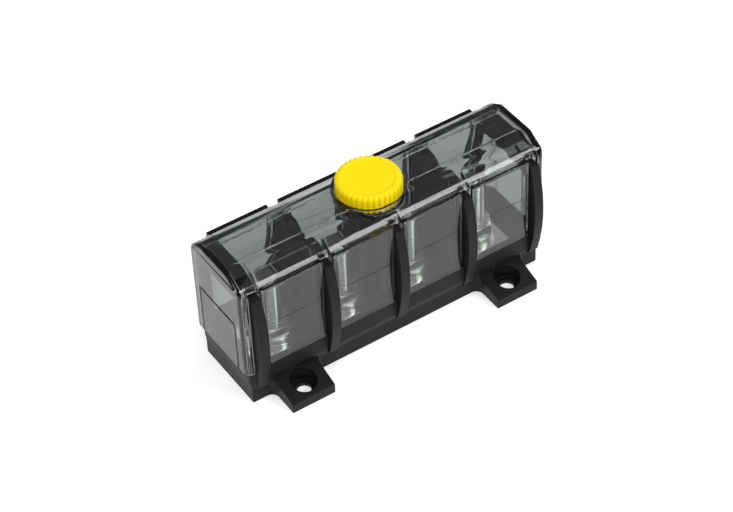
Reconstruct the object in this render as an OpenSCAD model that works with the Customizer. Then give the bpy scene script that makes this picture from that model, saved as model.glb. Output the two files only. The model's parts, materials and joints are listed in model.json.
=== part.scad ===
// Ground distribution block: four studs on one bar, walled bays, clear cover held by a thumb screw.
// Origin at the middle of the mounting face, +Z up out of it, X along the row of studs, mm.

/* [Layout] */
// Distance from one stud to the next
pitch = 30; // [28:0.5:34]
// Number of studs
stud_count = 4; // [4]

/* [Barriers] */
// Thickness of a barrier wall
barrier_t = 4; // [3:0.25:5]
// How far the bowed edge of a barrier reaches from the middle plane
barrier_reach = 22.4; // [21.5:0.1:24]
// Radius of the bowed edge
bow_r = 69; // [60:1:80]
// Height of the middle of the bow
bow_z = 31; // [28:0.5:34]
// How far below the flat top the part of a barrier outside the cover ends
barrier_drop = 8; // [7:0.5:12]
// Height of the foot of a barrier's outer edge
barrier_foot_z = 11.5; // [10:0.5:13]
// Radius of the round corners of the two humps on top of a barrier
hump_r = 6; // [5.5:0.1:6.2]
// Distance of a hump's outer corner centre from the middle plane
hump_y = 9; // [8.5:0.1:9.2]
// How far below the flat top the corner centres of the humps lie
hump_drop = 11.4; // [11:0.2:12.4]
// How far the dip between the humps lies above those centres
dip_up = 2.4; // [1:0.2:3.4]
// Width of the arch in each end barrier
arch_w = 30; // [28.4:0.2:30.4]
// How far below the flat top the arch ends
arch_drop = 12.6; // [11:0.2:15]
// Radius of the arch's upper corners
arch_r = 5.4; // [3:0.2:7]

/* [Base] */
// How far the foot reaches past the middle of an end barrier
base_end = 3.5; // [3:0.1:4]
// Width of the base at its foot
base_w = 32.4; // [32:0.2:34]
// Height of the straight foot
foot_h = 7; // [6:0.5:8]
// Height at which the flare above the foot ends
flare_z = 10.8; // [10:0.2:12]
// How far the collar stands out past the foot at each end
collar_out = 0.8; // [0.4:0.1:1.2]
// Height of the collar at the ends, where the cover lands
collar_z = 15.6; // [14:0.2:16]
// Height of the sill in a bay, where a window panel lands
sill_z = 18; // [17:0.2:19]
// Width of the sill's top
sill_w = 4.2; // [3.6:0.1:5]
// Thickness of the floor lip that holds the bar down
floor_t = 1; // [0.8:0.1:1.4]
// Width of the lip over each edge of the bar
lip_w = 0.8; // [0.6:0.1:1.5]
// Thickness of the upstand inside each end wall of the cover
upstand_t = 1.3; // [1:0.1:1.5]

/* [Ears] */
// Distance from the middle of an end barrier to the ear holes beside it
ear_in = 14.5; // [14:0.1:15.5]
// Distance between the ear holes across the row
ear_dy = 44; // [44:0.2:45]
// Width of an ear
ear_w = 18.2; // [17:0.2:20]
// How far the ear reaches past its hole
ear_end = 7; // [6.5:0.1:8]
// Thickness of the ear at its free edge
ear_t = 4.3; // [3.6:0.1:5]
// Height of the ear where it leaves the base
ear_root = 8.4; // [7:0.1:9]
// Radius of the mounting hole
ear_hole_r = 2.7; // [2.2:0.1:3.2]
// Radius of the counterbore for the screw head
ear_bore_r = 5; // [4.4:0.1:5.4]
// Thickness left under the screw head
ear_floor = 1.7; // [1.4:0.1:2.5]
// Radius of the fillet between ear and base
ear_fillet = 3; // [2:0.5:4]

/* [Bar and studs] */
// Width of the bar
bar_w = 26; // [22:0.5:26.5]
// Thickness of the bar
bar_t = 4; // [3:0.5:4]
// Length of bar past the end studs
bar_end = 11; // [9:0.5:11]
// Radius of the stud thread
stud_r = 4; // [3:0.25:4.25]
// Height of the top of the studs
stud_z = 40; // [34:0.5:46]
// Depth from the thread's outside to its pitch line, where stud and nut meet
shank_step = 0.4; // [0.25:0.05:0.6]
// Height of the hexagon head of a stud
stud_head_h = 5.3; // [4.5:0.1:5.6]
// Width over the flats of the stud head
stud_head_af = 13; // [12:0.5:14]

/* [Stack on a stud] */
// Radius of the flat washer
washer_r = 8; // [7.6:0.1:8.2]
// Thickness of the flat washer
washer_t = 1.2; // [1:0.1:1.8]
// Radius of the spring washer
spring_r = 7.4; // [6.8:0.1:7.6]
// Thickness of the spring washer
spring_t = 1.6; // [1.2:0.1:2.2]
// Width of the slit in the spring washer
spring_slit = 1.2; // [0.8:0.1:2]
// Width over the flats of the nut
nut_af = 13; // [12.5:0.5:13.5]
// Height of the nut
nut_h = 5.2; // [4:0.1:6.8]

/* [Bottom plate] */
// Thickness of the bottom plate
plate_t = 3; // [2.4:0.1:3.2]
// Width of the bottom plate
plate_w = 29.4; // [29.2:0.1:29.6]
// Distance from an end of the foot to the screws beside it
plate_in = 5; // [4.8:0.1:5.2]
// Distance between the end screws across the row
plate_dy = 18; // [14:0.5:22]
// Radius of the boss for the middle screw, which passes through the bar
boss_r = 3.2; // [3:0.1:4]
// Radius of the plate screw thread
plate_screw_r = 1.4; // [1.2:0.1:1.5]
// Length of the plate screw
plate_screw_l = 8; // [6:0.5:9]
// Radius of the countersunk screw head
plate_head_r = 2.4; // [2.2:0.1:2.4]

/* [Cover] */
// How far the cover reaches past the middle of an end barrier
cover_end = 5.8; // [5.6:0.1:7]
// Width of the cover between its raised windows
cover_w = 35.2; // [35:0.1:36]
// How far below the flat top the side turns into the slope
shoulder_drop = 5; // [4:0.2:6]
// Height of the flat top
top_z = 60; // [59:0.2:61]
// Width of the flat top
top_w = 17.6; // [16:0.2:20]
// Wall of the cover
cover_wall = 2; // [1.8:0.1:2.2]
// How far a window panel stands proud of the side
window_out = 1; // [0.6:0.1:1.2]
// Radius of the rounded shoulder
shoulder_r = 6; // [3:0.5:6.5]
// Radius of the upright corners
corner_r = 2.5; // [1:0.5:3]
// Gap between a barrier and the slot it passes through
slot_gap = 0.3; // [0.25:0.05:0.5]
// How far below the flat top the small box over each slot ends
cap_drop = 2; // [1.6:0.2:3]
// Side walls of that box
cap_wall = 0.6; // [0.5:0.1:1]
// Radius of the box's outer top edge
cap_r = 1.6; // [0.8:0.2:2]
// Height of the score line across each window
score_z = 38; // [30:0.5:44]
// Width of the score lines
score_w = 0.7; // [0.4:0.1:1.2]
// Depth of the score lines
score_d = 0.5; // [0.3:0.1:0.8]
// Width of the knock-out in each end
knock_w = 23.6; // [16:0.2:26]
// Distance of the two ridges along the top from the middle plane
ridge_y = 5.8; // [4:0.1:7]
// Width of a ridge
ridge_w = 1; // [0.6:0.1:1.4]
// Height of a ridge above the flat top
ridge_up = 0.4; // [0.2:0.1:0.5]

/* [Knob] */
// Radius of the knob
knob_r = 12.4; // [11:0.1:12.6]
// Height of the knob
knob_h = 7.1; // [6:0.1:8]
// Number of flutes round the knob
flutes = 36; // [24:1:40]
// Radius of a flute
flute_r = 0.8; // [0.5:0.1:0.9]
// Gap between the knob and the ring round it
knob_gap = 0.4; // [0.3:0.1:1.2]
// Width of the ring round the knob
ring_w = 0.9; // [0.7:0.1:1.6]
// How far the ring stands above the flat top
ring_up = 0.6; // [0.2:0.1:1]
// Depth of the round seat below the flat top
seat_d = 2.5; // [2:0.1:3]
// Thickness of the seat
seat_t = 2.3; // [2:0.1:2.6]
// Radius of the thumb screw thread
screw_r = 2.5; // [2:0.1:3]
// Length of thread engaged in the insert
screw_in = 9; // [6:0.5:9.5]
// Radius of the screw's head inside the knob
screw_head_r = 5; // [4:0.1:6]
// Height of the screw's head
screw_head_h = 3.4; // [3:0.1:4]

/* [Post and insert] */
// Radius of the post in the middle barrier
post_r = 5; // [4.8:0.1:5.5]
// Outer radius of the brass insert
insert_r = 3.5; // [3.3:0.1:3.8]
// Length of the insert
insert_l = 10; // [10:0.5:12]

/* [Hidden] */
$fn = 64;
// Running clearance on a radius, and the gap between plain faces
fit = 0.05;
gap = 0.3;
tiny = 0.01;

row_l = pitch * stud_count;
base_l = row_l + 2 * base_end;
cover_l = row_l + 2 * cover_end;
ear_dx = row_l - 2 * ear_in;
hump_out = hump_y + hump_r;
hump_z = top_z - hump_drop;
dip_z = hump_z + dip_up;
arch_z = top_z - arch_drop;
barrier_out_z = top_z - barrier_drop;
shoulder_z = top_z - shoulder_drop;
cap_z = top_z - cap_drop;
bar_z = plate_t + stud_head_h;
bar_top = bar_z + bar_t;
floor_z = bar_top + floor_t;
bar_l = row_l - pitch + 2 * bar_end;
washer_top = bar_top + washer_t;
spring_top = washer_top + spring_t;
nut_top = spring_top + nut_h;
shank_r = stud_r - shank_step;
side_y = cover_w / 2;
window_y = side_y + window_out;
sill_y = window_y - 0.2;
sill_in = sill_y - sill_w;
slope_run = side_y - top_w / 2;
slope_drop = shoulder_drop;
slope_len = sqrt(slope_run * slope_run + slope_drop * slope_drop);
slope_step = cover_wall * slope_len / slope_run;
seat_z = top_z - seat_d;
seat_under = seat_z - seat_t;
ring_ri = knob_r + knob_gap;
ring_ro = ring_ri + ring_w;
post_z = seat_under - 1.4;
knob_z = seat_z + 0.2;
knob_top = knob_z + knob_h;
slot_w = barrier_t + 2 * slot_gap;
slot_z = barrier_out_z + gap + 0.1;
slot_in = ring_ro + gap;
plate_dx = base_l - 2 * plate_in;
plate_l = base_l - 3;
upstand_x = cover_l / 2 - cover_wall - gap - upstand_t;

// x of stud n, counted from 1
function stud_x(n) = (n - (stud_count + 1) / 2) * pitch;
// x of barrier n, counted from 0
function barrier_x(n) = (n - stud_count / 2) * pitch;
// height of the cover's slope above a point y, less a distance d measured straight down
function slope_z(y, d) = shoulder_z + (side_y - y) * slope_drop / slope_run - d;

module at_ears() {
    for (x = [-ear_dx / 2, ear_dx / 2])
        for (m = [0, 1])
            mirror([0, m, 0])
                translate([x, -ear_dy / 2, 0])
                    children();
}

module at_plate_screws() {
    for (x = [-plate_dx / 2, plate_dx / 2])
        for (y = [-plate_dy / 2, plate_dy / 2])
            translate([x, y, 0])
                children();
    children();
}

// Stands a drawing made in Y and Z up across the row, length l, middle at x = 0
module across(l) {
    translate([-l / 2, 0, 0])
        rotate([90, 0, 90])
            linear_extrude(l)
                children();
}

// Rectangle with round corners
module round_box(l, w, r) {
    union() {
        square([l - 2 * r, w], center = true);
        square([l, w - 2 * r], center = true);
        for (x = [-1, 1])
            for (y = [-1, 1])
                translate([x * (l / 2 - r), y * (w / 2 - r)])
                    circle(r);
    }
}

// Outline of one barrier in Y and Z: bowed edges outside the cover, room for the humps inside it
module barrier_outline() {
    difference() {
        intersection() {
            translate([bow_r - barrier_reach, bow_z])
                circle(bow_r, $fn = 360);
            translate([barrier_reach - bow_r, bow_z])
                circle(bow_r, $fn = 360);
            translate([-barrier_reach, barrier_foot_z])
                square([2 * barrier_reach, barrier_out_z - barrier_foot_z]);
        }
        translate([-hump_out, hump_z])
            square([2 * hump_out, top_z]);
    }
    for (m = [0, 1])
        mirror([m, 0])
            barrier_tail();
}

// The two humps of a barrier and the dip between them
module humps() {
    corner_in = hump_r + 1;
    translate([-corner_in, hump_z - 1])
        square([2 * corner_in, dip_z - hump_z + 1]);
    for (s = [-1, 1]) {
        translate([s * (corner_in + hump_y) / 2, hump_z + hump_r / 2])
            square([hump_y - corner_in, hump_r], center = true);
        for (y = [corner_in, hump_y])
            translate([s * y, hump_z])
                circle(hump_r);
    }
}

// The bridge of an end barrier, which fills the cover up to its roof
module bridge() {
    intersection() {
        cover_outline(cover_wall + gap, shoulder_r - cover_wall - gap);
        translate([-hump_out, hump_z - 1])
            square([2 * hump_out, top_z]);
    }
}

// Opening of the arch in an end barrier, from the floor up
module arch_opening() {
    translate([-arch_w / 2, floor_z])
        square([arch_w, arch_z - arch_r - floor_z]);
    translate([arch_r - arch_w / 2, floor_z])
        square([arch_w - 2 * arch_r, arch_z - floor_z]);
    for (s = [-1, 1])
        translate([s * (arch_w / 2 - arch_r), arch_z - arch_r])
            circle(arch_r);
}

// Rounded tail by which the outer edge of a barrier runs down on to the foot of the base
module barrier_tail() {
    tail_y = base_w / 2;
    out = barrier_reach - bow_r + sqrt(bow_r * bow_r - pow(bow_z - barrier_foot_z, 2));
    r = out - tail_y;
    translate([tail_y - tiny, barrier_foot_z + tiny])
        intersection() {
            circle(r + tiny);
            translate([0, -r - tiny])
                square([r + 1, r + tiny]);
        }
    translate([0, foot_h])
        square([tail_y, barrier_foot_z - foot_h + 1]);
}

module barriers() {
    for (n = [0 : stud_count])
        translate([barrier_x(n), 0, 0])
            across(barrier_t)
                if (n == 0 || n == stud_count)
                    difference() {
                        union() {
                            barrier_outline();
                            bridge();
                        }
                        arch_opening();
                    }
                else
                    union() {
                        barrier_outline();
                        humps();
                    }
}

// Section of the base through a bay: foot, flare, sills and the floor between them
module bay_section() {
    foot_y = base_w / 2;
    polygon([[-foot_y, 0], [foot_y, 0], [foot_y, foot_h], [sill_y, flare_z], [sill_y, sill_z],
             [sill_in, sill_z], [sill_in, floor_z], [-sill_in, floor_z], [-sill_in, sill_z],
             [-sill_y, sill_z], [-sill_y, flare_z], [-foot_y, foot_h]]);
}

// The ends of the base: foot, flare and collar round all four sides
module end_block() {
    foot_x = base_l / 2;
    foot_y = base_w / 2;
    collar_y = foot_y + collar_out;
    difference() {
        collar_block(foot_x, foot_y, collar_y);
        translate([-row_l / 2, -cover_w, floor_z - tiny])
            cube([row_l, 2 * cover_w, collar_z]);
        // floor of the cable way under each end arch
        translate([-upstand_x, -arch_w / 2, floor_z])
            cube([2 * upstand_x, arch_w, collar_z]);
    }
    for (s = [-1, 1])
        translate([s * (upstand_x + upstand_t / 2), 0, (collar_z + sill_z - 1) / 2])
            cube([upstand_t, arch_w - 4, sill_z - collar_z + 1], center = true);
}

// Outline of the ends: flared foot and collar with round corners
module collar_block(foot_x, foot_y, collar_y) {
    intersection() {
        across(base_l + 2 * collar_out)
            polygon([[-foot_y, 0], [foot_y, 0], [foot_y, foot_h], [collar_y, flare_z], [collar_y, collar_z],
                     [-collar_y, collar_z], [-collar_y, flare_z], [-foot_y, foot_h]]);
        rotate([90, 0, 0])
            translate([0, 0, -base_w])
                linear_extrude(2 * base_w)
                    polygon([[-foot_x, 0], [foot_x, 0], [foot_x, foot_h],
                             [foot_x + collar_out, flare_z], [foot_x + collar_out, collar_z],
                             [-foot_x - collar_out, collar_z], [-foot_x - collar_out, flare_z],
                             [-foot_x, foot_h]]);
        linear_extrude(collar_z)
            round_box(base_l + 2 * collar_out, base_w + 2 * collar_out, corner_r);
    }
}

// One mounting ear, drawn about its hole, reaching towards -Y
module ear() {
    root_y = (ear_dy - base_w) / 2;
    difference() {
        intersection() {
            across(ear_w + 2 * ear_fillet)
                polygon([[-ear_end, 0], [root_y + 1, 0], [root_y + 1, ear_root], [root_y, ear_root],
                         [-ear_end, ear_t]]);
            linear_extrude(ear_root)
                difference() {
                    union() {
                        translate([-ear_w / 2, -ear_end])
                            square([ear_w, ear_end + root_y + 1]);
                        translate([-ear_w / 2 - ear_fillet, root_y - ear_fillet])
                            square([ear_w + 2 * ear_fillet, ear_fillet + 1]);
                    }
                    for (s = [-1, 1])
                        translate([s * (ear_w / 2 + ear_fillet), root_y - ear_fillet])
                            circle(ear_fillet);
                }
        }
        translate([0, 0, -1])
            cylinder(h = ear_root + 2, r = ear_hole_r);
        translate([0, 0, ear_floor])
            cylinder(h = ear_root, r = ear_bore_r);
    }
}

// Everything of the base above its underside, with the chamber for the bar
module base_shell() {
    difference() {
        union() {
            end_block();
            across(row_l)
                bay_section();
            barriers();
            at_ears()
                ear();
        }
        // recess for the bottom plate and chamber for the bar
        translate([-plate_l / 2 - 0.2, -plate_w / 2 - 0.2, -1])
            cube([plate_l + 0.4, plate_w + 0.4, plate_t + 1]);
        translate([-bar_l / 2 - 0.2, -bar_w / 2 - 0.2, plate_t - tiny])
            cube([bar_l + 0.4, bar_w + 0.4, bar_top - plate_t + tiny]);
        // opening in the floor of each bay
        for (n = [1 : stud_count]) {
            lo = max(barrier_x(n - 1) + barrier_t / 2, -bar_l / 2) + lip_w;
            hi = min(barrier_x(n) - barrier_t / 2, bar_l / 2) - lip_w;
            translate([lo, lip_w - bar_w / 2, bar_top - 1])
                cube([hi - lo, bar_w - 2 * lip_w, floor_t + 2]);
        }
    }
}

module base() {
    color("#1b1b1c")
        difference() {
            union() {
                base_shell();
                // post for the insert and boss for the middle screw
                translate([0, 0, bar_top])
                    cylinder(h = post_z - bar_top, r = post_r);
                translate([0, 0, plate_t])
                    cylinder(h = bar_top - plate_t + 1, r = boss_r);
            }
            // blind hole for the insert and run-out for the screw
            translate([0, 0, post_z - insert_l])
                cylinder(h = insert_l + 1, r = insert_r);
            translate([0, 0, post_z - insert_l - 4])
                cylinder(h = 5, r = screw_r + 0.3);
            at_plate_screws()
                translate([0, 0, plate_t - 1])
                    cylinder(h = plate_screw_l - plate_t + 2, r = plate_screw_r, $fn = 32);
        }
}

module bottom_plate() {
    color("#2a2a2c")
        difference() {
            translate([-plate_l / 2, -plate_w / 2, 0])
                cube([plate_l, plate_w, plate_t]);
            at_plate_screws() {
                translate([0, 0, -1])
                    cylinder(h = plate_t + 2, r = plate_screw_r + 0.2, $fn = 32);
                countersink(plate_head_r);
            }
        }
}

// Countersunk head seen from below, flush with the underside
module countersink(r) {
    cone_z = 0.2 + r - plate_screw_r;
    rotate_extrude($fn = 32)
        polygon([[0, 0], [r, 0], [r, 0.2], [plate_screw_r, cone_z], [0, cone_z]]);
}

module plate_screws() {
    color("#9a9c9e")
        at_plate_screws() {
            countersink(plate_head_r - 0.1);
            cylinder(h = plate_screw_l, r = plate_screw_r - 0.02, $fn = 32);
        }
}

module busbar() {
    color("#c9c6bd")
        difference() {
            translate([-bar_l / 2, -bar_w / 2, bar_z])
                cube([bar_l, bar_w, bar_t]);
            for (n = [1 : stud_count])
                translate([stud_x(n), 0, bar_z - 1])
                    cylinder(h = bar_t + 2, r = shank_r + fit);
            translate([0, 0, bar_z - 1])
                cylinder(h = bar_t + 2, r = boss_r + gap);
        }
}

module stud(n) {
    color("#c4c6c8")
        translate([stud_x(n), 0, 0]) {
            translate([0, 0, plate_t])
                cylinder(h = stud_head_h, r = stud_head_af / sqrt(3), $fn = 6);
            rotate_extrude()
                polygon([[0, plate_t], [shank_r, plate_t], [shank_r, nut_top], [stud_r, nut_top],
                         [stud_r, stud_z - 0.8], [stud_r - 0.8, stud_z], [0, stud_z]]);
        }
}

module flat_washer(n) {
    color("#b9bbbd")
        translate([stud_x(n), 0, bar_top])
            difference() {
                cylinder(h = washer_t, r = washer_r);
                translate([0, 0, -1])
                    cylinder(h = washer_t + 2, r = stud_r + 0.2);
            }
}

module lock_washer(n) {
    color("#b0b2b4")
        translate([stud_x(n), 0, washer_top])
            difference() {
                cylinder(h = spring_t, r = spring_r);
                translate([0, 0, -1])
                    cylinder(h = spring_t + 2, r = stud_r + 0.15);
                rotate(35)
                    translate([0, -spring_slit / 2, -1])
                        cube([spring_r + 1, spring_slit, spring_t + 2]);
            }
}

// Hexagon with both ends chamfered at the corners
module nut(n) {
    corner = nut_af / sqrt(3);
    bevel = (corner - nut_af / 2) * 0.9;
    color("#c8cacc")
        translate([stud_x(n), 0, spring_top])
            difference() {
                intersection() {
                    rotate(12)
                        cylinder(h = nut_h, r = corner, $fn = 6);
                    rotate_extrude()
                        polygon([[0, 0], [nut_af / 2, 0], [corner, bevel], [corner, nut_h - bevel],
                                 [nut_af / 2, nut_h], [0, nut_h]]);
                }
                translate([0, 0, -1])
                    cylinder(h = nut_h + 2, r = shank_r + fit);
            }
}

module threaded_insert() {
    color("#b58a3c")
        translate([0, 0, post_z - insert_l])
            difference() {
                cylinder(h = insert_l, r = insert_r - 0.02);
                translate([0, 0, -1])
                    cylinder(h = insert_l + 2, r = screw_r + fit);
            }
}

// Outline of the cover across the row: upright sides, slopes and flat top, d inside the outer face
module cover_outline(d, r) {
    turn = atan2(slope_run, slope_drop);
    cut = r * tan(turn / 2);
    y = side_y - d;
    top_y = top_w / 2 - d * (slope_len - slope_run) / slope_drop;
    edge = slope_z(y, d * slope_len / slope_run);
    in_y = y - cut * sin(turn);
    in_z = edge + cut * cos(turn);
    polygon([[-y, 0], [y, 0], [y, edge - cut], [in_y, in_z], [top_y, top_z - d],
             [-top_y, top_z - d], [-in_y, in_z], [-y, edge - cut]]);
    for (s = [-1, 1])
        translate([s * (y - r), edge - cut])
            circle(r);
}

// Outer block of the cover with round corners
module cover_block(d) {
    intersection() {
        across(cover_l - 2 * d)
            cover_outline(d, shoulder_r - d);
        linear_extrude(top_z)
            round_box(cover_l - 2 * d, cover_w - 2 * d, max(corner_r - d, 0.5));
    }
}

// Window panels standing out from both sides, d inside the outer face
module window_blocks(d) {
    for (n = [1 : stud_count]) {
        l = pitch - slot_w - 2 * d;
        translate([stud_x(n), 0, sill_z])
            translate([-l / 2, d - window_y, 0])
                cube([l, 2 * (window_y - d), shoulder_z - sill_z - d]);
    }
}

// Small boxes on the shoulders, one over each slot
module slot_boxes() {
    for (n = [0 : stud_count])
        for (m = [0, 1])
            translate([barrier_x(n), 0, 0])
                mirror([0, m, 0])
                    across(slot_w + 2 * cap_wall) {
                        translate([top_w / 2, shoulder_z - 4])
                            square([side_y - cap_r - top_w / 2, cap_z - shoulder_z + 4]);
                        translate([side_y - cap_r - 1, shoulder_z - 4])
                            square([cap_r + 1, cap_z - cap_r - shoulder_z + 4]);
                        translate([side_y - cap_r, cap_z - cap_r])
                            circle(cap_r);
                    }
}

module cover() {
    color("#6d7276", 0.55)
        difference() {
            union() {
                difference() {
                    union() {
                        cover_block(0);
                        window_blocks(0);
                        slot_boxes();
                    }
                    translate([0, 0, -tiny])
                        cover_block(cover_wall);
                    translate([0, 0, -tiny])
                        window_blocks(cover_wall);
                }
                // round seat for the knob with its raised ring
                translate([0, 0, seat_under])
                    cylinder(h = top_z + ring_up - seat_under, r = ring_ro);
                for (s = [-1, 1])
                    translate([0, s * ridge_y, top_z - 0.5])
                        linear_extrude(ridge_up + 0.5)
                            round_box(row_l + 2, ridge_w, ridge_w / 2 - tiny);
            }
            translate([0, 0, seat_z])
                cylinder(h = top_z, r = ring_ri);
            translate([0, 0, seat_under - 1])
                cylinder(h = seat_t + 2, r = screw_r + fit);
            // the open underside, lower at the ends than in the bays
            translate([-cover_l, -cover_w, -1])
                cube([2 * cover_l, 2 * cover_w, collar_z + 1]);
            translate([-row_l / 2 + barrier_t / 2, -cover_w, -1])
                cube([row_l - barrier_t, 2 * cover_w, sill_z + 1]);
            // slots for the barriers, which run on up into the small boxes
            for (n = [0 : stud_count]) {
                translate([barrier_x(n) - slot_w / 2, -cover_w, -1])
                    cube([slot_w, 2 * cover_w, slot_z + 1]);
                for (m = [0, 1])
                    mirror([0, m, 0])
                        translate([barrier_x(n) - slot_w / 2, slot_in, slot_z - 1])
                            cube([slot_w, cover_w, cap_z - slot_z]);
            }
            // score lines across the windows
            for (n = [1 : stud_count])
                for (s = [-1, 1])
                    translate([stud_x(n), s * window_y, score_z])
                        cube([pitch, 2 * score_d, score_w], center = true);
            // knock-out lines in both ends
            for (s = [-1, 1])
                translate([s * cover_l / 2, 0, 0]) {
                    translate([0, 0, score_z])
                        cube([2 * score_d, knock_w, score_w], center = true);
                    for (t = [-1, 1])
                        translate([0, t * knock_w / 2, score_z / 2])
                            cube([2 * score_d, score_w, score_z + score_w], center = true);
                }
        }
}

module knob() {
    color("#f5c400")
        difference() {
            rotate_extrude()
                polygon([[0, knob_z], [knob_r - 0.6, knob_z], [knob_r, knob_z + 0.6],
                         [knob_r, knob_top - 1.2], [knob_r - 1.2, knob_top], [knob_r - 2.6, knob_top],
                         [knob_r - 3.2, knob_top - 0.4], [0, knob_top - 0.4]]);
            for (a = [0 : flutes - 1])
                rotate(a * 360 / flutes)
                    translate([knob_r + flute_r * 0.35, 0, knob_z - 1])
                        cylinder(h = knob_h + 2, r = flute_r, $fn = 24);
            translate([0, 0, knob_z + 1])
                cylinder(h = screw_head_h, r = screw_head_r);
            translate([0, 0, knob_z - 1])
                cylinder(h = 3, r = screw_r + fit);
        }
}

module thumb_screw() {
    tip_z = post_z - screw_in;
    color("#bfc1c3")
        rotate_extrude()
            polygon([[0, tip_z], [screw_r - 0.5, tip_z], [screw_r, tip_z + 0.5], [screw_r, knob_z + 1],
                     [screw_head_r - 0.02, knob_z + 1], [screw_head_r - 0.02, knob_z + 1 + screw_head_h],
                     [0, knob_z + 1 + screw_head_h]]);
}

module retaining_ring() {
    color("#3c3d3f")
        translate([0, 0, seat_under - 1.1])
            difference() {
                cylinder(h = 0.9, r = screw_r + 1.8);
                translate([0, 0, -1])
                    cylinder(h = 3, r = screw_r + 0.02);
                translate([0, -screw_r * 0.7, -1])
                    cube([screw_r + 3, screw_r * 1.4, 3]);
            }
}

base();
bottom_plate();
plate_screws();
busbar();
stud(1);  // stud_1
stud(2);  // stud_2
stud(3);  // stud_3
stud(4);  // stud_4
flat_washer(1);  // flat_washer_1
flat_washer(2);  // flat_washer_2
flat_washer(3);  // flat_washer_3
flat_washer(4);  // flat_washer_4
lock_washer(1);  // lock_washer_1
lock_washer(2);  // lock_washer_2
lock_washer(3);  // lock_washer_3
lock_washer(4);  // lock_washer_4
nut(1);  // nut_1
nut(2);  // nut_2
nut(3);  // nut_3
nut(4);  // nut_4
threaded_insert();
cover();
knob();
thumb_screw();
retaining_ring();
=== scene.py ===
# %% [markdown]
# Ground distribution block
#
# The real object is a black moulded base with four threaded studs on a common bar. Walls that bow outwards
# part the bays, and a smoked clear cover drops over them and is held by a yellow thumb screw. The solids
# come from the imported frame, in metres. Here they get their finishes, and the pieces with fine detail are
# made again: threads, chamfered nuts, split washers, the ribbed knob and the softened edges of the two
# mouldings.

# %% Frame and helpers
import json
import math

import bmesh
import bpy
import numpy as np
from mathutils import Matrix, Vector
from mathutils.bvhtree import BVHTree


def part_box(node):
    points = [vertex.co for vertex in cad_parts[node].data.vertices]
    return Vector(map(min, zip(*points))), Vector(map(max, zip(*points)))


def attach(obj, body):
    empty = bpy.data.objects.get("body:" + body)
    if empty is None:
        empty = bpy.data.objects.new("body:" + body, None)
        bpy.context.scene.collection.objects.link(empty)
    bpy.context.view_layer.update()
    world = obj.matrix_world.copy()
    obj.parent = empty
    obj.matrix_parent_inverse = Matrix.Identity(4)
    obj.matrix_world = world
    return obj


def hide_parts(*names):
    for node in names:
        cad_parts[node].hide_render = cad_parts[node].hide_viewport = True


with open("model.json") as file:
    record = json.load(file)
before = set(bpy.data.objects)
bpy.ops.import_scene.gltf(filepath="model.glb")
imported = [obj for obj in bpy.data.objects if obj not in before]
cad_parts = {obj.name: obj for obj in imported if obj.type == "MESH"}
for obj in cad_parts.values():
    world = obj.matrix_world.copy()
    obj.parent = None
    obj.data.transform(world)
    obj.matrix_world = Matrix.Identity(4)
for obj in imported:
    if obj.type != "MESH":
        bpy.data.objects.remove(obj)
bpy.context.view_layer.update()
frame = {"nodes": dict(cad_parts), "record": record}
MM = 0.001
TAU = 2 * math.pi
body_of_node = {}
for body, nodes in frame["record"]["behaviour"]["bodies"].items():
    for node in nodes:
        body_of_node[node] = body
slot_of_node = {part["node"]: part["material_slot"] for part in frame["record"]["subparts"]}


def span(node):
    """Lowest and highest corner of a CAD node in millimetres."""
    low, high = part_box(node)
    return np.array(low) / MM, np.array(high) / MM


# %% [markdown]
# The camera
#
# The photograph was taken from the front left, well above the block, with a long lens. The angles, the
# distance and the focal length were solved from the corners of the block. The block's axes are the world's
# axes, so the camera is placed by a direction, a distance and a small roll about its own line of sight.

# %% Camera
VIEW_AZIMUTH = math.radians(-31.934)
VIEW_ELEVATION = math.radians(43.637)
VIEW_ROLL = math.radians(-2.753)
VIEW_DISTANCE = 893.9
FOCAL_PIXELS = 2415.3
PICTURE_WIDTH = 733
AIM = Vector((0.0, 0.0, 20.0))
AIM_SIDE = -2.224
AIM_UP = 3.899


def place_camera():
    """Stands the camera at the aim point plus the distance along the backward axis, turned by the roll."""
    backward = Vector((math.sin(VIEW_AZIMUTH) * math.cos(VIEW_ELEVATION),
                       -math.cos(VIEW_AZIMUTH) * math.cos(VIEW_ELEVATION), math.sin(VIEW_ELEVATION)))
    level = Vector((math.cos(VIEW_AZIMUTH), math.sin(VIEW_AZIMUTH), 0.0))
    upward = backward.cross(level)
    right = level * math.cos(VIEW_ROLL) + upward * math.sin(VIEW_ROLL)
    up = upward * math.cos(VIEW_ROLL) - level * math.sin(VIEW_ROLL)
    eye = AIM + backward * VIEW_DISTANCE + right * AIM_SIDE + up * AIM_UP
    turn = Matrix((right, up, backward)).transposed().to_4x4()
    data = bpy.data.cameras.new("photo_camera")
    data.sensor_width = 36.0
    data.lens = FOCAL_PIXELS / PICTURE_WIDTH * data.sensor_width
    data.clip_start = 0.01
    data.clip_end = 20.0
    camera = bpy.data.objects.new("photo_camera", data)
    camera.matrix_world = Matrix.Translation(eye * MM) @ turn
    bpy.context.scene.collection.objects.link(camera)
    bpy.context.scene.camera = camera
    return camera


camera = place_camera()
print("camera lens", round(camera.data.lens, 1), "mm")

# %% [markdown]
# Shader sums as Python sums
#
# A material here is a small program. A wire stands for one output socket, and Python's own signs add the
# Math nodes, so a formula can be read as a formula. Any other node comes from one method that takes its
# type, its settings and its sockets.

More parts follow.
